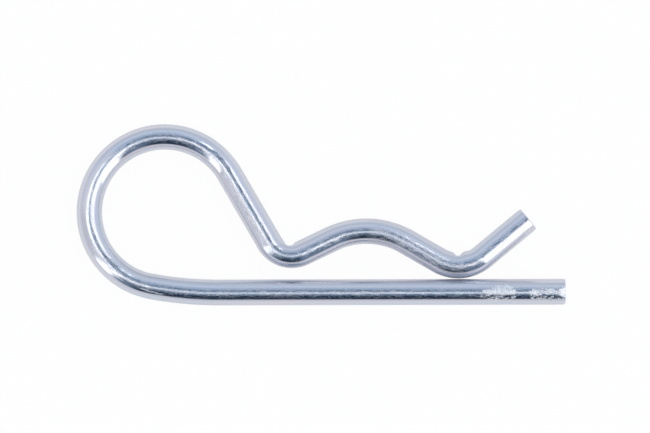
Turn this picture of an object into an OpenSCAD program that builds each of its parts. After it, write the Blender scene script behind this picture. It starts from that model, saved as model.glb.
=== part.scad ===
// R clip for a hitch pin, bent in one plane from a single length of spring wire.
// It lies flat: the wire's axis is in the plane z = wire_d / 2, the straight leg runs
// along +X to its free end, and the sprung arm lies on the leg's +Y side.
// In use the leg goes through the pin's cross hole and the seat snaps over the pin.
// The origin is under the middle of the clip, on the surface that it lies on.

/* [Wire] */
// Diameter of the spring wire
wire_d = 4; // [3.6:0.1:4.4]
// How much thinner a tight bend draws the wire
bend_draw = 0.06; // [0.04:0.01:0.1]
// Bevel round both cut ends of the wire
end_bevel = 0.15; // [0.05:0.05:0.3]

/* [Leg] */
// Length of the straight leg, from its free end to the first bend
leg_l = 53.5; // [51:0.5:70]
// How far the shear's rolled corner reaches along the leg and down its end
shear_reach = 0.5; // [0.3:0.05:0.8]
// Radius of that rolled corner
shear_r = 0.7; // [0.6:0.05:1]

/* [Spring loop] */
// Inside diameter of the loop
loop_inner_d = 19.4; // [17:0.1:25]
// Inside radius of the long bend that leads from the leg into the loop
lead_r = 57; // [40:0.5:75]
// Angle of that long bend
lead_a = 10.4; // [8:0.1:13]

/* [Arm] */
// Slope of the arm where it comes straight down from the loop
arm_slope = 60; // [55:0.5:66]
// Inside radius of the dip, the bend between the arm and the seat
dip_r = 2; // [1.5:0.1:3]
// Clearance between the dip and the leg
dip_gap = 1.75; // [1:0.05:2.5]

/* [Pin seat] */
// Diameter of the hitch pin that the clip is made for
pin_d = 16; // [14.6:0.1:18]
// How far the free clip's seat lies inside the pin's outline, so that it grips
grip = 0.52; // [0.2:0.02:1.2]
// Inside radius of the seat, opener than the pin so that it rides over it
seat_r = 10.6; // [8.6:0.1:14]
// Slope of the wire up to the seat
rise_slope = 25.5; // [20:0.5:31]
// Slope of the wire down from the seat
fall_slope = 30; // [25:0.5:36]

/* [Nose and tail] */
// Clearance between the free clip's nose and the leg
nose_gap = 0.1; // [0.05:0.05:0.5]
// Inside radius of the nose, the bend that rides along the leg
nose_r = 3.85; // [2.6:0.05:6]
// Length of the straight tail that lifts the nose over the pin
tail_l = 9.3; // [6:0.1:12]
// Slope of the tail
tail_slope = 39.5; // [32:0.5:48]

/* [Forming marks] */
// Radius of the forming finger that pressed the dip
dip_finger_r = 1.05; // [0.8:0.05:1.4]
// Depth of its mark in the wire
dip_mark = 0.48; // [0.2:0.02:0.7]
// Place of the mark, as a share of the dip's bend
dip_mark_at = 0.56; // [0.45:0.01:0.6]
// Radius of the forming finger that pressed the nose
nose_finger_r = 1.4; // [1:0.05:1.8]
// Depth of its mark in the wire
nose_mark = 0.42; // [0.2:0.02:0.6]
// Place of the mark, as a share of the nose's bend
nose_mark_at = 0.42; // [0.35:0.01:0.6]

/* [Hidden] */
$fn = 96;
wire_r = wire_d / 2;
drawn_r = wire_r - bend_draw / 2;
// How far a tight bend's drawn wire reaches into the full wire on both sides of it
lap = 0.2;
cut_h = 2 * wire_d;

// Bend radii on the wire's axis
lead_R = lead_r + wire_r;
loop_R = loop_inner_d / 2 + drawn_r;
dip_R = dip_r + drawn_r;
seat_R = seat_r + drawn_r;
nose_R = nose_r + drawn_r;

// Angle of the loop, from the lead bend round to the arm
loop_a = 180 + arm_slope - lead_a;
// Height that a bend of radius R takes between two slopes of the wire
function bend_rise(R, from, to) = R * abs(cos(from) - cos(to));

// Heights of the wire's axis above the leg's axis
loop_middle_h = bend_rise(lead_R, 0, lead_a) + loop_R * cos(lead_a);
arm_h = loop_middle_h + loop_R * cos(arm_slope);
dip_h = wire_r + dip_gap + drawn_r;
seat_h = pin_d / 2 - grip + drawn_r;
nose_h = wire_r + nose_gap + drawn_r;

// Straight stretches, as long as these heights need
arm_l = (arm_h - dip_h - bend_rise(dip_R, 0, arm_slope)) / sin(arm_slope);
rise_l = (seat_h - dip_h - bend_rise(dip_R + seat_R, 0, rise_slope)) / sin(rise_slope);
fall_l = (seat_h - nose_h - bend_rise(nose_R + seat_R, 0, fall_slope)) / sin(fall_slope);

// Overall size, from the free end to the loop's far side and from the leg to its top
overall_l = leg_l + (lead_R - loop_R) * sin(lead_a) + loop_R + drawn_r;
overall_w = wire_r + loop_middle_h + loop_R + drawn_r;

// Each stretch of the wire starts at the origin and runs along +X, and its children
// start where it ends. A bend turns left where its angle a is above 0, and right
// where it is below. R is a bend's radius on the wire's axis.

module feed(l) {
    rotate([0, 90, 0]) cylinder(d = wire_d, h = l);
    translate([l, 0, 0]) children();
}

module at_bend_end(R, a) {
    to_middle = sign(a) * R;
    translate([0, to_middle, 0]) rotate(a) translate([0, -to_middle, 0]) children();
}

module bent_wire(R, a, r, lap_a = 0) {
    side = sign(a);
    translate([0, side * R, 0]) rotate(-side * (90 + lap_a))
        rotate_extrude(angle = a + side * 2 * lap_a) translate([R, 0]) circle(r);
}

// A tight bend, whose drawn wire laps into the stretches on both sides of it
module drawn_wire(R, a) {
    bent_wire(R, a, drawn_r, lap / R * 180 / PI);
}

module lead_bend(R, a) {
    bent_wire(R, a, wire_r);
    at_bend_end(R, a) children();
}

module tight_bend(R, a) {
    drawn_wire(R, a);
    at_bend_end(R, a) children();
}

// A tight bend with the mark that the forming finger left on its inside
module pressed_bend(R, a, finger_r, mark, at) {
    to_middle = sign(a) * R;
    to_finger = sign(a) * (R - drawn_r + mark - finger_r);
    difference() {
        drawn_wire(R, a);
        translate([0, to_middle, 0]) rotate(a * at) translate([0, -to_finger, 0])
            cylinder(r = finger_r, h = cut_h, center = true);
    }
    at_bend_end(R, a) children();
}

// A cut end of the wire, from its face at the origin to the full wire
module cut_end() {
    rotate([0, 90, 0]) cylinder(r1 = wire_r - end_bevel, r2 = wire_r, h = end_bevel);
}

// What the shear rolled off one corner of the leg's end
module rolled_corner() {
    centre = shear_reach / 2 + sqrt((shear_r ^ 2 - shear_reach ^ 2 / 2) / 2);
    difference() {
        translate([-end_bevel, wire_r - shear_reach, -wire_d])
            cube([end_bevel + shear_reach, wire_d, cut_h]);
        translate([centre, wire_r - centre, 0])
            cylinder(r = shear_r, h = 2 * cut_h, center = true);
    }
}

module leg() {
    difference() {
        union() {
            cut_end();
            translate([end_bevel, 0, 0]) feed(leg_l - end_bevel);
        }
        rolled_corner();
    }
    translate([leg_l, 0, 0]) children();
}

module tail() {
    feed(tail_l - end_bevel);
    translate([tail_l, 0, 0]) mirror([1, 0, 0]) cut_end();
}

module r_clip() {
    color("silver")
        translate([overall_l / 2, wire_r - overall_w / 2, wire_r])
        rotate(180)
        leg()
        lead_bend(lead_R, -lead_a)
        tight_bend(loop_R, -loop_a)
        feed(arm_l)
        pressed_bend(dip_R, arm_slope + rise_slope, dip_finger_r, dip_mark, dip_mark_at)
        feed(rise_l)
        tight_bend(seat_R, -rise_slope - fall_slope)
        feed(fall_l)
        pressed_bend(nose_R, fall_slope + tail_slope, nose_finger_r, nose_mark, nose_mark_at)
        tail();
}

r_clip();
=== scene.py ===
"""Dresses the hitch R clip pin: one length of drawn spring wire, bent and bright zinc plated.

The wire is swept by Geometry Nodes along a route that follows from the clip's own sizes,
and it stands for the CAD model's node r_clip, in the same place and to the same sizes.
"""

import math
from collections import namedtuple

import bpy
from bpy.props import FloatProperty, FloatVectorProperty, PointerProperty
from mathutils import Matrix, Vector, noise


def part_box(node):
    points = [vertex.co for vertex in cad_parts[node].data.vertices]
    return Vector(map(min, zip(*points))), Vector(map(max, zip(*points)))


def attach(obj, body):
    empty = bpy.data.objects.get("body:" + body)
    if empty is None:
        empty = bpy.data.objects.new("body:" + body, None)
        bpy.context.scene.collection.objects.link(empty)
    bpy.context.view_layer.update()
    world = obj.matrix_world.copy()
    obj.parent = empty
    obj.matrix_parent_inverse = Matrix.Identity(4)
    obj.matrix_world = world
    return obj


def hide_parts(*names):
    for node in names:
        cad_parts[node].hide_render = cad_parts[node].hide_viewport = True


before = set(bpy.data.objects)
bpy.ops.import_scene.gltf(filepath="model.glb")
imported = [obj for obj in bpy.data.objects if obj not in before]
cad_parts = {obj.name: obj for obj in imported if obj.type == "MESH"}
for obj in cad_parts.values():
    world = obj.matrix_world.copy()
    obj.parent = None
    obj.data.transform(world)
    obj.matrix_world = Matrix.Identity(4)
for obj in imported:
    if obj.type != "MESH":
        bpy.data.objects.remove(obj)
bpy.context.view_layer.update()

bl_info = {
    "name": "Hitch R clip pin",
    "version": (1, 0, 0),
    "blender": (4, 5, 0),
    "location": "3D View > Sidebar > R clip",
    "description": "Bends a plated spring wire into a hitch R clip pin, on a studio floor",
    "category": "Add Mesh",
}

MM = 0.001
NODE = "r_clip"
BODY = "root"
# How far the bent wire's box may be from the CAD model's
FIT = 0.03 * MM
NODE_LOW, NODE_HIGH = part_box(NODE)
# The clip lies flat, so the wire's diameter is the node's height
WIRE_D = round(NODE_HIGH.z - NODE_LOW.z, 6)


# --------------------------------------------------------------------------------------
# Colours and nodes


def linear(hex_colour):
    """The linear colour of an sRGB hex value."""
    channels = [int(hex_colour[i : i + 2], 16) / 255 for i in (1, 3, 5)]
    return tuple(c / 12.92 if c <= 0.04045 else ((c + 0.055) / 1.055) ** 2.4 for c in channels)


def add(tree, kind, settings=None, inputs=None):
    """Adds a node. settings are its properties, and inputs are its sockets, by name or place.

    An input is a value, a socket to link from, or a node, whose first output is linked.
    """
    node = tree.nodes.new(kind)
    for name, value in (settings or {}).items():
        setattr(node, name, value)
    for name, value in (inputs or {}).items():
        if isinstance(value, bpy.types.Node):
            value = value.outputs[0]
        if isinstance(value, bpy.types.NodeSocket):
            tree.links.new(value, node.inputs[name])
        else:
            node.inputs[name].default_value = value
    return node


# --------------------------------------------------------------------------------------
# Sizes and colours that a user would change


def length(name, description, value):
    """A length, given in millimetres."""
    return FloatProperty(
        name=name, description=description, default=value * MM, unit="LENGTH", precision=5
    )


def angle(name, description, value):
    """An angle, given in degrees."""
    return FloatProperty(
        name=name, description=description, default=math.radians(value), subtype="ANGLE"
    )


def share(name, description, value):
    """A share of something, from 0 to 1."""
    return FloatProperty(
        name=name, description=description, default=value, min=0, max=1, subtype="FACTOR"
    )


def colour(name, description, hex_colour):
    """A colour, given as an sRGB hex value."""
    return FloatVectorProperty(
        name=name,
        description=description,
        default=linear(hex_colour),
        min=0,
        max=1,
        subtype="COLOR",
    )


class RCLIP_PG_wire(bpy.types.PropertyGroup):
    """Sizes of the bent wire. A bend's radius is measured to the wire's inside."""

    wire_d: length("Wire diameter", "Diameter of the spring wire", WIRE_D / MM)
    bend_draw: length("Bend draw", "How much thinner a tight bend draws the wire", 0.06)
    leg_l: length("Leg length", "Length of the straight leg, up to the first bend", 53.5)
    loop_inner_d: length("Loop inside diameter", "Inside diameter of the spring loop", 19.4)
    lead_r: length("Lead radius", "Inside radius of the long bend from the leg into the loop", 57)
    lead_a: angle("Lead angle", "Angle of the long bend from the leg into the loop", 10.4)
    arm_slope: angle("Arm slope", "Slope of the arm where it comes straight down from the loop", 60)
    dip_r: length("Dip radius", "Inside radius of the dip between the arm and the seat", 2)
    dip_clearance: length("Dip clearance", "Clearance between the dip and the leg", 1.75)
    pin_d: length("Pin diameter", "Diameter of the hitch pin that the clip is made for", 16)
    grip: length("Grip", "How far the free clip's seat lies inside the pin's outline", 0.52)
    seat_r: length("Pin seat radius", "Inside radius of the seat", 10.6)
    rise_slope: angle("Rise slope", "Slope of the wire up to the seat", 25.5)
    fall_slope: angle("Fall slope", "Slope of the wire down from the seat", 30)
    nose_clearance: length("Nose clearance", "Clearance between the nose and the leg", 0.1)
    nose_r: length("Nose radius", "Inside radius of the nose that rides along the leg", 3.85)
    tail_l: length("Tail length", "Length of the straight tail", 9.3)
    tail_slope: angle("Tail slope", "Slope of the tail", 39.5)


class RCLIP_PG_marks(bpy.types.PropertyGroup):
    """Marks that the forming tools and the shear left in the wire."""

    end_bevel: length("End bevel", "Bevel round both cut ends of the wire", 0.1)
    roll_over: length("Roll-over", "How far the shear draws in the wire near a cut end", 0.06)
    roll_over_l: length("Roll-over length", "Length over which the shear draws in the wire", 0.8)
    shear_reach: length("Shear reach", "Reach of the shear's rolled corner along the leg", 0.42)
    shear_r: length("Shear radius", "Radius of the shear's rolled corner", 0.55)
    dip_finger_r: length("Dip finger radius", "Tip radius of the finger in the dip", 0.72)
    dip_finger_tip: length("Dip finger tip", "Width of the flat on that finger's tip", 0.2)
    dip_finger_slope: angle("Dip finger slope", "Slope of that finger's flanks", 60)
    dip_mark: length("Dip mark depth", "Depth of the finger's mark in the dip", 0.44)
    dip_mark_at: share("Dip mark place", "Place of the mark, as a share of the dip's bend", 0.6)
    nose_finger_r: length("Nose finger radius", "Tip radius of the finger in the nose", 0.3)
    nose_finger_tip: length("Nose finger tip", "Width of the flat on that finger's tip", 0.3)
    nose_finger_slope: angle("Nose finger slope", "Slope of that finger's flanks", 48)
    nose_mark: length("Nose mark depth", "Depth of the finger's mark in the nose", 0.4)
    nose_mark_at: share("Nose mark place", "Place of the mark, as a share of the nose's bend", 0.42)
    nose_shoulder: length("Nose shoulder", "Height of the metal pushed up beside that mark", 0.14)
    facet_l: length("Facet length", "Length of the flat that the shear pressed on top", 0.72)
    facet_depth: length("Facet depth", "How deep that flat begins", 0.08)
    facet_slope: angle("Facet slope", "Slope of that flat", 10.5)


class RCLIP_PG_finish(bpy.types.PropertyGroup):
    """Colours of the plating."""

    plating: colour("Plating", "Bright zinc under a blue clear passivation film", "#CAD4E0")
    plating_warm: colour("Thick film", "Plating where the passivation film is thicker", "#DBD6DC")
    scuff: colour("Scuffed plating", "Zinc that handling has scuffed matt", "#F0F3F7")
    scuff_worn: colour("Worn plating", "Zinc where a scuff has worn through the film", "#C0C9D3")


class RCLIP_PG_stage(bpy.types.PropertyGroup):
    """The floor and the camera."""

    floor_size: length("Floor size", "Side of the square floor", 4000)
    floor: colour("Floor", "Colour of the white card that the clip lies on", "#FFFFFF")
    lens: FloatProperty(
        name="Lens", description="Focal length of the camera", default=300, unit="CAMERA"
    )
    view_w: length("View width", "Width that the camera sees at the wire's middle height", 100.681)
    view_x: length("View centre X", "Place of the view's centre along the leg", 0.631)
    view_y: length("View centre Y", "Place of the view's centre across the leg", -0.308)
    roll: angle("Roll", "How far the camera is rolled about its own axis", -0.126)


# --------------------------------------------------------------------------------------
# The route of the wire


def bend_rise(R, slope_from, slope_to):
    """Height that a bend of radius R takes between two slopes of the wire."""
    return R * abs(math.cos(slope_from) - math.cos(slope_to))


def smooth(value, low, high):
    """0 below low, 1 above high, and smooth between them."""
    t = min(1.0, max(0.0, (value - low) / (high - low)))
    return t * t * (3 - 2 * t)


# A section of the wire: the place of its middle, its radius and its distance along the wire
Section = namedtuple("Section", "place radius along")
# A bend of the wire: its heading and its distance along the wire where it starts, its centre, the
# radius of the wire's axis in it, and the angle that it turns through
Bend = namedtuple("Bend", "heading along centre R turn")


class Route:
    """The wire's axis, laid down stretch by stretch from the leg's free end."""

    def __init__(self, place, heading):
        self.place = Vector(place)
        self.heading = heading
        self.along = 0.0
        self.sections = []

    def lay(self, place, radius, along):
        """Adds a section."""
        self.sections.append(Section(place, radius, along))

    def straight(self, run, step, radius_at):
        """Goes straight on for a run."""
        start = self.place.copy()
        direction = Vector((math.cos(self.heading), math.sin(self.heading), 0))
        steps = max(1, math.ceil(run / step))
        for i in range(1, steps + 1):
            gone = run * i / steps
            self.place = start + direction * gone
            self.lay(self.place, radius_at(gone, run), self.along + gone)
        self.along += run

    def bend(self, R, turn, step, radius_at):
        """Turns by an angle, to the left where it is above 0, on radius R of the wire's axis."""
        side = math.copysign(R, turn)
        centre = self.place + side * Vector((-math.sin(self.heading), math.cos(self.heading), 0))
        start = self.heading
        laid = Bend(start, self.along, centre, R, turn)
        run = R * abs(turn)
        steps = max(1, math.ceil(run / step))
        for i in range(1, steps + 1):
            self.heading = start + turn * i / steps
            outward = Vector((math.sin(self.heading), -math.cos(self.heading), 0))
            self.place = centre + side * outward
            gone = run * i / steps
            self.lay(self.place, radius_at(gone, run), self.along + gone)
        self.along += run
        return laid


# Steps between the sections of the wire
FINE_STEP = 0.06 * MM
BEND_STEP = 0.25 * MM
STRAIGHT_STEP = 0.5 * MM
# Length over which a tight bend thins the wire
THINNING_L = 1.5 * MM
# Sections of a cut end: the rings of its face, as shares of the face's radius, and its bevel
FACE_RINGS = (0.04, 0.2, 0.36, 0.52, 0.68, 0.82, 0.93)
FACE_RING_STEP = 0.003 * MM
FACE_DEPTH = len(FACE_RINGS) * FACE_RING_STEP
BEVEL_STEPS = 6
# A forming finger: the floor of its mark, its tip's radius and flat, the slope of its flanks, its
# place along the wire, and the height of the metal that it pushed up
Finger = namedtuple("Finger", "floor radius tip slope along shoulder")


def cut_end(wire_r, marks):
    """Sections of a cut end, from its face's middle to the full wire, as (distance, radius)."""
    face_r = wire_r - marks.end_bevel
    rows = [(i * FACE_RING_STEP, face_r * part) for i, part in enumerate(FACE_RINGS)]

    def drawn_in(gone):
        return marks.roll_over * max(0.0, 1 - gone / marks.roll_over_l) ** 2

    for i in range(BEVEL_STEPS + 1):
        part = i / BEVEL_STEPS
        gone = FACE_DEPTH + marks.end_bevel * (1 - math.cos(part * math.pi / 2))
        bevel_r = face_r + marks.end_bevel * math.sin(part * math.pi / 2)
        rows.append((gone, bevel_r - drawn_in(gone)))
    begin = rows[-1][0]
    steps = math.ceil((marks.roll_over_l - begin) / FINE_STEP)
    for i in range(1, steps + 1):
        gone = begin + (marks.roll_over_l - begin) * i / steps
        rows.append((gone, wire_r - drawn_in(gone)))
    return rows


def lay_route(wire, marks):
    """The wire's sections, and the forming fingers that pressed its dip and its nose."""
    wire_r = wire.wire_d / 2
    drawn_r = wire_r - wire.bend_draw / 2
    # Bend radii on the wire's axis
    lead_R = wire.lead_r + wire_r
    loop_R = wire.loop_inner_d / 2 + drawn_r
    dip_R = wire.dip_r + drawn_r
    seat_R = wire.seat_r + drawn_r
    nose_R = wire.nose_r + drawn_r
    # Heights of the wire's axis above the leg's axis
    loop_middle_h = bend_rise(lead_R, 0, wire.lead_a) + loop_R * math.cos(wire.lead_a)
    arm_h = loop_middle_h + loop_R * math.cos(wire.arm_slope)
    dip_h = wire_r + wire.dip_clearance + drawn_r
    seat_h = wire.pin_d / 2 - wire.grip + drawn_r
    nose_h = wire_r + wire.nose_clearance + drawn_r
    # Straight stretches, as long as these heights need
    arm_rise = arm_h - dip_h - bend_rise(dip_R, 0, wire.arm_slope)
    arm_l = arm_rise / math.sin(wire.arm_slope)
    rise = seat_h - dip_h - bend_rise(dip_R + seat_R, 0, wire.rise_slope)
    rise_l = rise / math.sin(wire.rise_slope)
    fall = seat_h - nose_h - bend_rise(nose_R + seat_R, 0, wire.fall_slope)
    fall_l = fall / math.sin(wire.fall_slope)
    overall_l = wire.leg_l + (lead_R - loop_R) * math.sin(wire.lead_a) + loop_R + drawn_r
    overall_w = wire_r + loop_middle_h + loop_R + drawn_r

    def full(gone, run):
        return wire_r

    def drawn(gone, run):
        thinned = smooth(min(gone, run - gone), 0, min(THINNING_L, run / 2))
        return wire_r - (wire_r - drawn_r) * thinned

    route = Route((overall_l / 2, wire_r - overall_w / 2, wire_r), math.pi)
    start = route.place.copy()
    end_rows = cut_end(wire_r, marks)
    for gone, radius in end_rows:
        route.lay(start + Vector((-gone, 0, 0)), radius, gone)
    route.along = end_rows[-1][0]
    route.place = start + Vector((-route.along, 0, 0))
    route.straight(wire.leg_l - route.along, STRAIGHT_STEP, full)
    route.bend(lead_R, -wire.lead_a, STRAIGHT_STEP, full)
    route.bend(loop_R, wire.lead_a - math.pi - wire.arm_slope, BEND_STEP, drawn)
    route.straight(arm_l, STRAIGHT_STEP, full)
    dip = route.bend(dip_R, wire.arm_slope + wire.rise_slope, FINE_STEP, drawn)
    route.straight(rise_l, 2 * FINE_STEP, full)
    route.bend(seat_R, -wire.rise_slope - wire.fall_slope, BEND_STEP, drawn)
    route.straight(fall_l, 2 * FINE_STEP, full)
    nose = route.bend(nose_R, wire.fall_slope + wire.tail_slope, FINE_STEP, drawn)
    tail_end = end_rows[-1][0]
    route.straight(wire.tail_l - tail_end, STRAIGHT_STEP, full)
    back = Vector((math.cos(route.heading), math.sin(route.heading), 0))
    begun = route.place.copy()
    for gone, radius in reversed(end_rows[:-1]):
        rest = tail_end - gone
        route.lay(begun + back * rest, radius, route.along + rest)

    def finger(bend, place, depth, radius, tip, slope, shoulder):
        """The finger that pressed a bend, at a share of the bend's turn."""
        turned = bend.turn * place
        heading = bend.heading + turned
        # The wire's inner side there, on the line from the bend's centre
        inner = Vector((math.sin(heading), -math.cos(heading), 0)) * (bend.R - drawn_r)
        floor = bend.centre + inner - Vector((0, depth, 0))
        return Finger(floor, radius, tip, slope, bend.along + bend.R * turned, shoulder)

    fingers = (
        finger(
            dip,
            marks.dip_mark_at,
            marks.dip_mark,
            marks.dip_finger_r,
            marks.dip_finger_tip,
            marks.dip_finger_slope,
            0,
        ),
        finger(
            nose,
            marks.nose_mark_at,
            marks.nose_mark,
            marks.nose_finger_r,
            marks.nose_finger_tip,
            marks.nose_finger_slope,
            marks.nose_shoulder,
        ),
    )
    return route.sections, fingers


# --------------------------------------------------------------------------------------
# The wire's mesh

FACES_AROUND = 96
# How softly a finger's mark meets the wire
MARK_EDGE = 0.05 * MM
# The metal that a finger pushed up: its distance from the finger along the wire, its width, its
# height on the side that the wire came from, as a share of the other side's, and where it is gone
SHOULDER_AT = 1.6 * MM
SHOULDER_W = 0.8 * MM
BACK_SHOULDER = 0.5
SHOULDER_END = SHOULDER_AT + 3 * SHOULDER_W
# Length of the step down to the shear's facet
FACET_STEP = 0.1 * MM
# The torn part of a cut face: its depth and its grain, and where it begins and is whole, as shares
# of the wire's diameter to the right of its axis
SHEAR_DEPTH = 0.03 * MM
SHEAR_GRAIN = 0.35 * MM
TORN_FROM = -0.25
TORN_WHOLE = 0.05
# Just past a cut face, and before its bevel
PAST_FACE = FACE_DEPTH * 1.01


def route_mesh(sections, wire_r):
    """The wire's axis as a line of edges, which carries each section's thickness and distance.

    The thickness is the section's radius as a share of the full wire's.
    """
    mesh = bpy.data.meshes.new("wire_route")
    places, radii, distances = zip(*sections)
    mesh.from_pydata(places, [(i, i + 1) for i in range(len(places) - 1)], [])
    thickness = [radius / wire_r for radius in radii]
    for name, values in (("thickness", thickness), ("along", distances)):
        mesh.attributes.new(name, "FLOAT", "POINT").data.foreach_set("value", values)
    return mesh


def sweep_tree():
    """The Geometry Nodes tree that sweeps the wire's round section along its route.

    It stores, for each point, its place on the wire before it was bent: along the wire, to its left
    and up.
    """
    tree = bpy.data.node_groups.new("sweep_the_wire", "GeometryNodeTree")
    new = tree.interface.new_socket
    new("Route", in_out="INPUT", socket_type="NodeSocketGeometry")
    kinds = {"Wire diameter": "Float", "Faces around": "Int", "Material": "Material"}
    sockets = {
        name: new(name, in_out="INPUT", socket_type="NodeSocket" + kind)
        for name, kind in kinds.items()
    }
    new("Wire", in_out="OUTPUT", socket_type="NodeSocketGeometry")
    given = add(tree, "NodeGroupInput")
    axis = add(tree, "GeometryNodeMeshToCurve", None, {"Mesh": given.outputs["Route"]})
    level = add(tree, "GeometryNodeSetCurveNormal", {"mode": "Z_UP"}, {"Curve": axis})
    run = add(tree, "GeometryNodeInputTangent")
    kept_run = add(
        tree,
        "GeometryNodeStoreNamedAttribute",
        {"data_type": "FLOAT_VECTOR", "domain": "POINT"},
        {"Geometry": level, "Name": "wire_run", "Value": run},
    )
    circle = add(
        tree,
        "GeometryNodeCurvePrimitiveCircle",
        {"mode": "RADIUS"},
        {"Resolution": given.outputs["Faces around"], "Radius": 1.0},
    )
    spot = add(tree, "GeometryNodeInputPosition")
    section = add(
        tree,
        "GeometryNodeStoreNamedAttribute",
        {"data_type": "FLOAT_VECTOR", "domain": "POINT"},
        {"Geometry": circle, "Name": "around", "Value": spot},
    )
    thickness = add(
        tree, "GeometryNodeInputNamedAttribute", {"data_type": "FLOAT"}, {"Name": "thickness"}
    )
    full_r = add(
        tree,
        "ShaderNodeMath",
        {"operation": "MULTIPLY"},
        {0: given.outputs["Wire diameter"], 1: 0.5},
    )
    section_r = add(tree, "ShaderNodeMath", {"operation": "MULTIPLY"}, {0: thickness, 1: full_r})
    swept = add(
        tree,
        "GeometryNodeCurveToMesh",
        None,
        {"Curve": kept_run, "Profile Curve": section, "Scale": section_r, "Fill Caps": True},
    )
    along = add(
        tree, "GeometryNodeInputNamedAttribute", {"data_type": "FLOAT"}, {"Name": "along"}
    )
    around = add(
        tree, "GeometryNodeInputNamedAttribute", {"data_type": "FLOAT_VECTOR"}, {"Name": "around"}
    )
    # The section's own axes point to the right and down
    turned = add(tree, "ShaderNodeMath", {"operation": "MULTIPLY"}, {0: section_r, 1: -1.0})
    across = add(
        tree, "ShaderNodeVectorMath", {"operation": "SCALE"}, {"Vector": around, "Scale": turned}
    )
    parts = add(tree, "ShaderNodeSeparateXYZ", None, {"Vector": across})
    unbent = add(
        tree,
        "ShaderNodeCombineXYZ",
        None,
        {"X": along, "Y": parts.outputs["X"], "Z": parts.outputs["Y"]},
    )
    kept = add(
        tree,
        "GeometryNodeStoreNamedAttribute",
        {"data_type": "FLOAT_VECTOR", "domain": "POINT"},
        {"Geometry": swept, "Name": "straight_wire", "Value": unbent},
    )
    rounded = add(
        tree, "GeometryNodeSetShadeSmooth", None, {"Geometry": kept, "Shade Smooth": True}
    )
    real = add(tree, "GeometryNodeRealizeInstances", None, {"Geometry": rounded})
    plated = add(
        tree,
        "GeometryNodeSetMaterial",
        None,
        {"Geometry": real, "Material": given.outputs["Material"]},
    )
    add(tree, "NodeGroupOutput", None, {"Wire": plated})
    return tree, sockets


def sweep(sections, wire_d, material):
    """The swept wire as a plain mesh object."""
    tree, sockets = sweep_tree()
    piece = bpy.data.objects.new("bent_wire", route_mesh(sections, wire_d / 2))
    bpy.context.scene.collection.objects.link(piece)
    sweeping = piece.modifiers.new("sweep", "NODES")
    sweeping.node_group = tree
    sweeping[sockets["Wire diameter"].identifier] = wire_d
    sweeping[sockets["Faces around"].identifier] = FACES_AROUND
    sweeping[sockets["Material"].identifier] = material
    seen = piece.evaluated_get(bpy.context.evaluated_depsgraph_get())
    mesh = bpy.data.meshes.new_from_object(seen)
    piece.modifiers.remove(sweeping)
    piece.data = mesh
    mesh.name = "bent_wire"
    if not mesh.polygons:
        raise RuntimeError("the wire was not swept")
    return piece


def finger_height(finger, beside):
    """How high a finger's surface stands above its tip, at a distance beside the tip's middle."""
    off = max(0.0, abs(beside) - finger.tip / 2)
    round_w = finger.radius * math.sin(finger.slope)
    if off < round_w:
        return finger.radius - math.sqrt(finger.radius**2 - off**2)
    round_h = finger.radius * (1 - math.cos(finger.slope))
    return round_h + (off - round_w) * math.tan(finger.slope)


def press_marks(mesh, fingers):
    """Raises the metal beside each finger's mark, and presses the mark into the wire.

    A finger stands upright and presses straight towards the leg.
    """
    straight = mesh.attributes["straight_wire"].data
    for vertex in mesh.vertices:
        along, left, _ = straight[vertex.index].vector
        for finger in fingers:
            beside = along - finger.along
            if abs(beside) > SHOULDER_END:
                continue
            # The metal rises less on the side that the wire came from
            side = 1.0 if beside > 0 else BACK_SHOULDER
            off = (abs(beside) - SHOULDER_AT) / SHOULDER_W
            raised = finger.shoulder * side * math.exp(-(off**2))
            vertex.co.y += raised * smooth(left, 0, WIRE_D / 2)
            pressed = finger_height(finger, vertex.co.x - finger.floor.x)
            over = vertex.co.y - finger.floor.y - pressed
            vertex.co.y -= (over + math.hypot(over, MARK_EDGE)) / 2


def press_facet(mesh, facet_l, depth, slope):
    """Presses the flat that the shear left on top of the leg's end."""
    straight = mesh.attributes["straight_wire"].data
    for vertex in mesh.vertices:
        along = straight[vertex.index].vector.x
        if along < facet_l + FACET_STEP:
            flat = WIRE_D - depth - max(0.0, facet_l - along) * math.tan(slope)
            over = max(0.0, vertex.co.z - flat)
            vertex.co.z -= over * smooth(along, facet_l + FACET_STEP, facet_l)


def roll_corner(mesh, corner, reach, radius):
    """Rounds the corner of the leg's end that the shear's blade came down on.

    corner is where it would stand.
    """
    centre_in = reach / 2 + math.sqrt((radius**2 - reach**2 / 2) / 2)
    centre = Vector((corner.x - centre_in, corner.y + centre_in, 0))
    for vertex in mesh.vertices:
        if vertex.co.x < corner.x - reach or vertex.co.y > corner.y + reach:
            continue
        off = Vector((vertex.co.x - centre.x, vertex.co.y - centre.y, 0))
        if off.length > radius:
            vertex.co += off.normalized() * (radius - off.length)


def tear_faces(mesh, low, high):
    """Roughens the cut faces, where the wire broke rather than sheared.

    low and high are the distances along the wire between which it is left alone.
    """
    straight = mesh.attributes["straight_wire"].data
    runs = mesh.attributes["wire_run"].data
    for vertex in mesh.vertices:
        along, left, up = straight[vertex.index].vector
        if low < along < high:
            continue
        run = runs[vertex.index].vector
        inward = run if along <= low else -run
        grain = noise.noise(Vector((left, up, along)) / SHEAR_GRAIN) * 0.5 + 0.5
        broken = smooth(-left / WIRE_D, TORN_FROM, TORN_WHOLE)
        vertex.co += inward * SHEAR_DEPTH * grain * broken


# --------------------------------------------------------------------------------------
# The plating

WIRE_R_MM = WIRE_D / MM / 2
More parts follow.
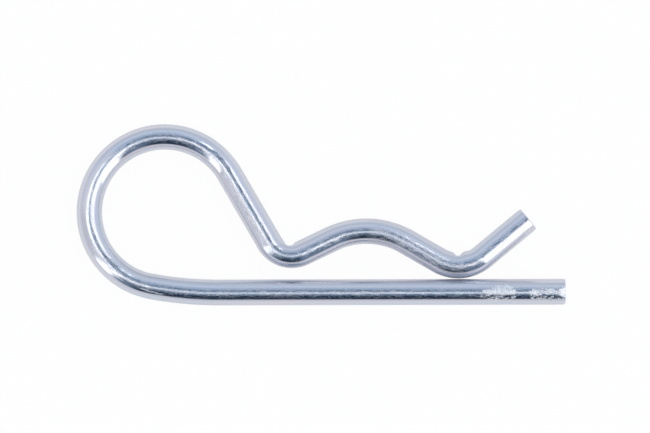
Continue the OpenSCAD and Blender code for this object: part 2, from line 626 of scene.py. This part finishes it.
# Patterns in the plating. Each row is the length of one of its marks along the wire and its width
# across it, in millimetres, and the noise's detail, roughness and seed.
PATTERNS = {
    # The drawing die's lines, and the waves that they lie on. Real lines are a few hundredths of a
    # millimetre wide, too fine to show, so these are drawn as coarse as they need to show.
    "lines": (2.6, 0.14, 3, 0.65, 11),
    "waves": (1.2, 0.28, 2, 0.6, 23),
    # Less smooth streaks that the feed rollers left, drawn coarse in the same way
    "streaks": (1.1, 0.2, 4, 0.8, 37),
    # The scuffs' ragged edges, and the scratches in them
    "frays": (0.55, 0.3, 4, 0.7, 67),
    "scratches": (0.22, 0.6, 2, 0.6, 83),
    # Where the passivation film is thicker
    "clouds": (12, 0.5, 2, 0.5, 51),
}
# Heights of the lines, of the waves and of the scratches in a scuff, in millimetres
LINE_H = 0.004
WAVE_H = 0.0035
SCRATCH_H = 0.06
# The top and the bottom that the feed rollers ran along: how far from the wire's axis they begin
# and are whole, in millimetres, and the share of their lines and streaks that the sides show
ROLLED_FROM = 0.8 * WIRE_R_MM
ROLLED_WHOLE = 0.94 * WIRE_R_MM
SIDE_LINES = 0.28
# How far above or below the wire's axis the satin sides begin to turn bright, in millimetres. They
# are bright where the rolled top and bottom begin.
SATIN_UP_TO = 0.5 * WIRE_R_MM
# Roughness of the sides, of the top and the bottom, of a scuff, and what the streaks add
SIDE_ROUGH = 0.34
TOP_ROUGH = 0.06
SCUFF_ROUGH = 0.42
STREAK_ROUGH = 0.24
# The stretch past the seat that slid over the forming tool: its middle along the wire, half its
# length and the length over which it fades, in millimetres, and how much rougher it is
RUBBED_AT = 148.0
RUBBED_HALF_L = 7.0
RUBBED_FADE = 2.0
RUBBED_ROUGH = 0.12
# How much more the drawn lines blur a reflection across the wire than along it, and the turn from
# the wire's run to across it, as a share of a full turn
ANISOTROPY = 0.2
ANISOTROPY_TURN = 0.25
# Levels at which the streaks, the thick film and the wear in a scuff begin and are whole
STREAK_LEVELS = (0.44, 0.58)
FILM_LEVELS = (0.22, 0.82)
WORN_LEVELS = (0.45, 0.75)
# Scuffs on the leg, the last three of them scratches. Each row is a scuff's middle along the wire
# and to its left, half its length and half its width, all in millimetres, and how far it covers
# the plating.
SCUFFS = (
    (4.8, 0.02, 0.95, 0.46, 0.6),
    (3.5, -0.1, 1.0, 0.65, 0.25),
    (2.2, 0.0, 1.35, 0.52, 0.35),
    (9.7, -0.35, 1.9, 0.95, 0.9),
    (8.6, -0.08, 1.2, 0.55, 0.6),
    (11.6, -0.08, 1.6, 0.46, 0.6),
    (2.6, 0.75, 2.9, 0.6, 0.02),
    (10.5, 0.75, 2.6, 0.6, 0.05),
    (62.9, 0.88, 0.7, 0.08, 1.1),
    (64.0, 0.78, 0.8, 0.08, 1.1),
    (65.1, 0.66, 0.8, 0.08, 1.1),
)
# Scuffs lie on the upper side, from this height above the wire's axis, in millimetres
SCUFFS_ABOVE = 0.1 * WIRE_R_MM
# Strength of a scuff away from every patch, at the middle of one, and what the frays add to it. The
# plating is scuffed where the sum passes the levels.
NOT_SCUFFED = -1.0
SCUFF_SLOPE = 1.6
FRAY = 3.2
SCUFF_LEVELS = (1.7, 1.95)


def plating(finish):
    """Bright zinc plating over drawn spring wire, with a blue clear passivation film."""
    # Thin plating mirrors its surroundings in streaks along the wire, because the lines that the
    # drawing die left show through it, and the passivation film gives the mirror a cool blue tint.
    # Where handling has scuffed it, it is matt and almost white.
    material = bpy.data.materials.new("bright_zinc_plating_on_drawn_wire")
    material.use_nodes = True
    tree = material.node_tree
    tree.nodes.clear()
    place = add(tree, "ShaderNodeAttribute", {"attribute_name": "straight_wire"})
    run = add(tree, "ShaderNodeAttribute", {"attribute_name": "wire_run"})
    # From metres to millimetres, so that each pattern below has its size in millimetres
    spot = add(
        tree,
        "ShaderNodeVectorMath",
        {"operation": "SCALE"},
        {"Vector": place.outputs["Vector"], "Scale": 1 / MM},
    )
    patterns = {}
    for name, (long, wide, detail, roughness, seed) in PATTERNS.items():
        sized = add(
            tree,
            "ShaderNodeVectorMath",
            {"operation": "MULTIPLY_ADD"},
            {0: spot, 1: (1 / long, 1 / wide, 1 / wide), 2: (seed, seed, seed)},
        )
        patterns[name] = add(
            tree,
            "ShaderNodeTexNoise",
            {"label": name},
            {"Vector": sized, "Scale": 1.0, "Detail": detail, "Roughness": roughness},
        )
    # How far the surface is scuffed matt
    across = add(tree, "ShaderNodeSeparateXYZ", None, {"Vector": spot})
    scuffed = NOT_SCUFFED
    for along, aside, half_l, half_w, cover in SCUFFS:
        off = add(
            tree,
            "ShaderNodeVectorMath",
            {"operation": "MULTIPLY_ADD"},
            {0: spot, 1: (1 / half_l, 1 / half_w, 0), 2: (-along / half_l, -aside / half_w, 0)},
        )
        far = add(tree, "ShaderNodeVectorMath", {"operation": "LENGTH"}, {0: off})
        inside = add(
            tree,
            "ShaderNodeMath",
            {"operation": "MULTIPLY_ADD"},
            {0: far.outputs["Value"], 1: -SCUFF_SLOPE, 2: SCUFF_SLOPE},
        )
        patch = add(tree, "ShaderNodeMath", {"operation": "MINIMUM"}, {0: inside, 1: cover})
        scuffed = add(tree, "ShaderNodeMath", {"operation": "MAXIMUM"}, {0: scuffed, 1: patch})
    frayed = add(
        tree,
        "ShaderNodeMath",
        {"operation": "MULTIPLY_ADD"},
        {0: patterns["frays"], 1: FRAY, 2: scuffed},
    )
    edge = add(
        tree,
        "ShaderNodeMapRange",
        {"interpolation_type": "SMOOTHSTEP"},
        {"Value": frayed, "From Min": SCUFF_LEVELS[0], "From Max": SCUFF_LEVELS[1]},
    )
    upper = add(
        tree,
        "ShaderNodeMath",
        {"operation": "GREATER_THAN"},
        {0: across.outputs["Z"], 1: SCUFFS_ABOVE},
    )
    scuff = add(tree, "ShaderNodeMath", {"operation": "MULTIPLY"}, {0: edge, 1: upper})
    # The feed rollers left the top and the bottom of the wire streaked
    off_axis = add(tree, "ShaderNodeMath", {"operation": "ABSOLUTE"}, {0: across.outputs["Z"]})
    rolled = add(
        tree,
        "ShaderNodeMapRange",
        {"interpolation_type": "SMOOTHSTEP"},
        {
            "Value": off_axis,
            "From Min": ROLLED_FROM,
            "From Max": ROLLED_WHOLE,
            "To Min": SIDE_LINES,
            "To Max": 1.0,
        },
    )
    # The relief, in millimetres
    height = 0.0
    for name, where, size in (
        ("lines", rolled, LINE_H),
        ("waves", rolled, WAVE_H),
        ("scratches", scuff, SCRATCH_H),
    ):
        part = add(tree, "ShaderNodeMath", {"operation": "MULTIPLY"}, {0: where, 1: size})
        height = add(
            tree,
            "ShaderNodeMath",
            {"operation": "MULTIPLY_ADD"},
            {0: patterns[name], 1: part, 2: height},
        )
    bump = add(tree, "ShaderNodeBump", None, {"Strength": 1.0, "Distance": MM, "Height": height})
    thick = add(
        tree,
        "ShaderNodeMapRange",
        None,
        {"Value": patterns["clouds"], "From Min": FILM_LEVELS[0], "From Max": FILM_LEVELS[1]},
    )
    film = add(
        tree,
        "ShaderNodeMix",
        {"data_type": "RGBA"},
        {0: thick, 6: (*finish.plating, 1), 7: (*finish.plating_warm, 1)},
    )
    worn = add(
        tree,
        "ShaderNodeMapRange",
        None,
        {"Value": patterns["scratches"], "From Min": WORN_LEVELS[0], "From Max": WORN_LEVELS[1]},
    )
    bare = add(
        tree,
        "ShaderNodeMix",
        {"data_type": "RGBA"},
        {0: worn, 6: (*finish.scuff, 1), 7: (*finish.scuff_worn, 1)},
    )
    surface = add(
        tree,
        "ShaderNodeMix",
        {"data_type": "RGBA"},
        {0: scuff, 6: film.outputs[2], 7: bare.outputs[2]},
    )
    matt = add(
        tree,
        "ShaderNodeMapRange",
        {"interpolation_type": "SMOOTHSTEP"},
        {
            "Value": patterns["streaks"],
            "From Min": STREAK_LEVELS[0],
            "From Max": STREAK_LEVELS[1],
            "To Max": STREAK_ROUGH,
        },
    )
    satin = add(
        tree,
        "ShaderNodeMapRange",
        None,
        {
            "Value": off_axis,
            "From Min": SATIN_UP_TO,
            "From Max": ROLLED_FROM,
            "To Min": SIDE_ROUGH,
            "To Max": TOP_ROUGH,
        },
    )
    streaked = add(
        tree, "ShaderNodeMath", {"operation": "MULTIPLY_ADD"}, {0: matt, 1: rolled, 2: satin}
    )
    past = add(
        tree, "ShaderNodeMath", {"operation": "SUBTRACT"}, {0: across.outputs["X"], 1: RUBBED_AT}
    )
    beside = add(tree, "ShaderNodeMath", {"operation": "ABSOLUTE"}, {0: past})
    rubbed = add(
        tree,
        "ShaderNodeMapRange",
        {"interpolation_type": "SMOOTHSTEP"},
        {
            "Value": beside,
            "From Min": RUBBED_HALF_L + RUBBED_FADE,
            "From Max": RUBBED_HALF_L,
            "To Max": RUBBED_ROUGH,
        },
    )
    formed = add(tree, "ShaderNodeMath", {"operation": "ADD"}, {0: streaked, 1: rubbed})
    rough = add(
        tree,
        "ShaderNodeMix",
        {"data_type": "FLOAT"},
        {"Factor": scuff, "A": formed, "B": SCUFF_ROUGH},
    )
    metal = add(
        tree,
        "ShaderNodeBsdfPrincipled",
        None,
        {
            "Base Color": surface.outputs[2],
            "Metallic": 1.0,
            "Roughness": rough,
            "Anisotropic": ANISOTROPY,
            "Anisotropic Rotation": ANISOTROPY_TURN,
            "Tangent": run.outputs["Vector"],
            "Normal": bump,
        },
    )
    add(tree, "ShaderNodeOutputMaterial", None, {"Surface": metal})
    return material


# --------------------------------------------------------------------------------------
# The stage

# Share of the card's look that is its own white: straight to the camera, and in the wire
CARD_GLOW = 0.95
CARD_GLOW_SEEN_IN_WIRE = 0.75


def white_card(stage):
    """Matt white card."""
    # Uncoated card scatters light evenly and mirrors nothing. It looks plain white to the camera
    # and in the wire, and still takes the wire's shadow.
    material = bpy.data.materials.new("matt_white_card")
    material.use_nodes = True
    tree = material.node_tree
    tree.nodes.clear()
    seen = add(tree, "ShaderNodeLightPath")
    mirrored = add(
        tree,
        "ShaderNodeMath",
        {"operation": "MAXIMUM"},
        {0: seen.outputs["Is Glossy Ray"], 1: seen.outputs["Is Transmission Ray"]},
    )
    in_wire = add(
        tree,
        "ShaderNodeMath",
        {"operation": "MULTIPLY"},
        {0: mirrored, 1: CARD_GLOW_SEEN_IN_WIRE},
    )
    own = add(
        tree,
        "ShaderNodeMath",
        {"operation": "MULTIPLY_ADD"},
        {0: seen.outputs["Is Camera Ray"], 1: CARD_GLOW, 2: in_wire},
    )
    paper = add(tree, "ShaderNodeBsdfDiffuse", None, {"Color": (*stage.floor, 1)})
    glow = add(tree, "ShaderNodeEmission", None, {"Color": (1, 1, 1, 1), "Strength": 1.0})
    mixed = add(tree, "ShaderNodeMixShader", None, {0: own, 1: paper, 2: glow})
    add(tree, "ShaderNodeOutputMaterial", None, {"Surface": mixed})
    return material


# The room, painted from the first row to the last. Each row is a panel: its name, the azimuth of
# its middle, half its width and the softness of its sides, the zenith angles that it spans and the
# softness of these, all in degrees, and its level and tint. 200 reaches all round.
ROOM = (
    ("walls", 0, 200, 1, 0, 200, 1, 0.81, "#FCFAFF"),
    ("upper_walls", 0, 200, 1, 0, 62, 18, 0.94, "#FDFBFF"),
    ("left_wall", 194, 18, 6, 34, 78, 8, 0.78, "#FBF8FF"),
    ("blue_wall", 62, 84, 24, 44, 86, 12, 1.0, "#E2EBFA"),
    ("horizon", 0, 200, 1, 82, 200, 8, 0.895, "#F1F7FF"),
    ("warm_horizon", 246, 90, 20, 82, 200, 8, 0.88, "#FCF9FF"),
    ("back_wall", 98, 48, 14, 68, 200, 8, 0.815, "#E9F2FF"),
    ("front_ceiling", 270, 60, 10, 0, 24, 8, 0.76, "#E2F2FF"),
    ("ceiling", 77, 50, 6, 0, 44, 10, 0.76, "#CEE2FA"),
    ("camera", 88, 27, 4, 11, 27, 3, 0.42, "#C0DCFA"),
    ("camera_side", 44, 18, 4, 15, 27, 3, 0.4, "#C4DCF5"),
    ("camera_top", 50, 7, 3, 24, 38, 3, 0.36, "#C4DCF5"),
    ("strip", 61, 4, 2, 35, 43, 3, 2.8, "#FFFFFF"),
    ("left_panel", 157, 27, 4, 0, 24, 5, 2.0, "#FFFFFF"),
    ("right_panel", 358, 28, 4, 0, 50, 8, 1.5, "#FFFFFF"),
    ("camera_rim", 20, 20, 6, 6, 13, 3, 0.5, "#C4DCF5"),
    ("right_wing", 33, 12, 3, 32, 50, 4, 1.6, "#FFFFFF"),
    ("dark_front", 270, 40, 5, 14, 67, 5, 0.34, "#BCDCFF"),
    ("dark_core", 265, 20, 8, 30, 66, 7, 0.08, "#A4CCFC"),
    ("left_softbox", 218.5, 7.5, 2.5, 0, 72, 7, 1.9, "#FFFFFF"),
    ("right_softbox", 324, 12, 3, 0, 70, 8, 1.9, "#FFFFFF"),
)
# Where the room's middle stands overhead: its slope from straight up, along X and Y
ROOM_MIDDLE = (-0.03, -0.087)
# The least softness of a panel's inner limit, in degrees, so that no limit has two equal ends
LEAST_FADE = 0.01


def studio_light():
    """The room round the clip, by direction."""
    world = bpy.data.worlds.new("studio")
    bpy.context.scene.world = world
    world.use_nodes = True
    tree = world.node_tree
    tree.nodes.clear()
    way = add(tree, "ShaderNodeTexCoord").outputs["Generated"]
    up = add(tree, "ShaderNodeSeparateXYZ", None, {"Vector": way}).outputs["Z"]
    # The direction as seen from under the room's middle
    shift = add(
        tree,
        "ShaderNodeVectorMath",
        {"operation": "MULTIPLY_ADD"},
        {0: up, 1: (-ROOM_MIDDLE[0], -ROOM_MIDDLE[1], 0), 2: way},
    )
    aim = add(tree, "ShaderNodeVectorMath", {"operation": "NORMALIZE"}, {0: shift})
    parts = add(tree, "ShaderNodeSeparateXYZ", None, {"Vector": aim})
    angles = []
    for kind, inputs in (
        ("ARCTAN2", {0: parts.outputs["Y"], 1: parts.outputs["X"]}),
        ("ARCCOSINE", {0: parts.outputs["Z"]}),
    ):
        radians = add(tree, "ShaderNodeMath", {"operation": kind}, inputs)
        angles.append(add(tree, "ShaderNodeMath", {"operation": "DEGREES"}, {0: radians}))
    azimuth, zenith = angles
    room = (0, 0, 0, 1)
    for name, middle, half, edge, low, high, fade, glow, tint in ROOM:
        off = add(tree, "ShaderNodeMath", {"operation": "SUBTRACT"}, {0: azimuth, 1: middle})
        turned = add(tree, "ShaderNodeMath", {"operation": "WRAP"}, {0: off, 1: 180, 2: -180})
        size = add(tree, "ShaderNodeMath", {"operation": "ABSOLUTE"}, {0: turned})
        low_fade = min(low, fade) + LEAST_FADE
        # Each limit is an angle, where the panel is gone, and where it is whole
        limits = (
            (size, half + edge, half - edge),
            (zenith, low - low_fade, low),
            (zenith, high + fade, high - fade),
        )
        mask = 1.0
        for value, gone, whole in limits:
            limit = add(
                tree,
                "ShaderNodeMapRange",
                {"interpolation_type": "SMOOTHSTEP"},
                {"Value": value, "From Min": gone, "From Max": whole},
            )
            mask = add(tree, "ShaderNodeMath", {"operation": "MULTIPLY"}, {0: mask, 1: limit})
        paint = (*[glow * c for c in linear(tint)], 1)
        mixed = add(
            tree,
            "ShaderNodeMix",
            {"data_type": "RGBA", "label": name},
            {0: mask, 6: room, 7: paint},
        )
        room = mixed.outputs[2]
    background = add(tree, "ShaderNodeBackground", None, {"Color": room, "Strength": 1.0})
    add(tree, "ShaderNodeOutputWorld", None, {"Surface": background})


def set_camera(stage, wire_r):
    """A camera that looks straight down on the clip."""
    data = bpy.data.cameras.new("camera")
    camera = bpy.data.objects.new("camera", data)
    bpy.context.scene.collection.objects.link(camera)
    data.lens = stage.lens
    data.sensor_fit = "HORIZONTAL"
    high = wire_r + stage.view_w * stage.lens / data.sensor_width
    camera.location = (stage.view_x, stage.view_y, high)
    camera.rotation_euler = (0, 0, stage.roll)
    bpy.context.scene.camera = camera


# --------------------------------------------------------------------------------------
# Operators, panel and registration


class RCLIP_OT_wire(bpy.types.Operator):
    """Bend the wire, press the marks of its tools into it and plate it"""

    bl_idname = "r_clip.bend_wire"
    bl_label = "Bend the wire"

    def execute(self, context):
        scene = context.scene
        wire, marks = scene.rclip_wire, scene.rclip_marks
        sections, fingers = lay_route(wire, marks)
        piece = sweep(sections, wire.wire_d, plating(scene.rclip_finish))
        mesh = piece.data
        press_marks(mesh, fingers)
        tear_faces(mesh, PAST_FACE, sections[-1].along - PAST_FACE)
        corner = sections[0].place + Vector((0, -wire.wire_d / 2, 0))
        roll_corner(mesh, corner, marks.shear_reach, marks.shear_r)
        press_facet(mesh, marks.facet_l, marks.facet_depth, marks.facet_slope)
        # The wire stands for the CAD node, so it has to fill the same box
        for i, (low, high) in enumerate(zip(NODE_LOW, NODE_HIGH)):
            across = [v.co[i] for v in mesh.vertices]
            if abs(min(across) - low) > FIT or abs(max(across) - high) > FIT:
                raise RuntimeError(
                    f"the wire spans {min(across)} to {max(across)} on axis {i}, "
                    f"and the CAD node {low} to {high}"
                )
        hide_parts(NODE)
        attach(piece, BODY)
        return {"FINISHED"}


class RCLIP_OT_stage(bpy.types.Operator):
    """Lay the white floor, and set the camera and the light"""

    bl_idname = "r_clip.set_stage"
    bl_label = "Set the stage"

    def execute(self, context):
        scene = context.scene
        stage = scene.rclip_stage
        half = stage.floor_size / 2
        mesh = bpy.data.meshes.new("floor")
        corners = [(-half, -half, 0), (half, -half, 0), (half, half, 0), (-half, half, 0)]
        mesh.from_pydata(corners, [], [(0, 1, 2, 3)])
        mesh.materials.append(white_card(stage))
        floor = bpy.data.objects.new("floor", mesh)
        scene.collection.objects.link(floor)
        studio_light()
        set_camera(stage, scene.rclip_wire.wire_d / 2)
        scene.view_settings.view_transform = "Standard"
        return {"FINISHED"}


class RCLIP_PT_panel(bpy.types.Panel):
    """Lists the clip's operators and sizes"""

    bl_idname = "RCLIP_PT_panel"
    bl_label = "Hitch R clip pin"
    bl_space_type = "VIEW_3D"
    bl_region_type = "UI"
    bl_category = "R clip"

    def draw(self, context):
        layout = self.layout
        for operator in (RCLIP_OT_wire, RCLIP_OT_stage):
            layout.operator(operator.bl_idname)
        for name, (kind, label) in GROUPS.items():
            box = layout.box()
            box.label(text=label)
            group = getattr(context.scene, name)
            for field in kind.__annotations__:
                box.prop(group, field)


# The groups of sizes and colours and their labels, by their name in the scene
GROUPS = {
    "rclip_wire": (RCLIP_PG_wire, "Wire"),
    "rclip_marks": (RCLIP_PG_marks, "Marks"),
    "rclip_finish": (RCLIP_PG_finish, "Finish"),
    "rclip_stage": (RCLIP_PG_stage, "Stage"),
}
CLASSES = (*(kind for kind, _ in GROUPS.values()), RCLIP_OT_wire, RCLIP_OT_stage, RCLIP_PT_panel)


def register():
    for kind in CLASSES:
        bpy.utils.register_class(kind)
    for name, (kind, label) in GROUPS.items():
        setattr(bpy.types.Scene, name, PointerProperty(type=kind, name=label))


def unregister():
    for name in GROUPS:
        delattr(bpy.types.Scene, name)
    for kind in reversed(CLASSES):
        bpy.utils.unregister_class(kind)


def main():
    register()
    bpy.ops.r_clip.bend_wire()
    bpy.ops.r_clip.set_stage()


if __name__ == "__main__":
    main()
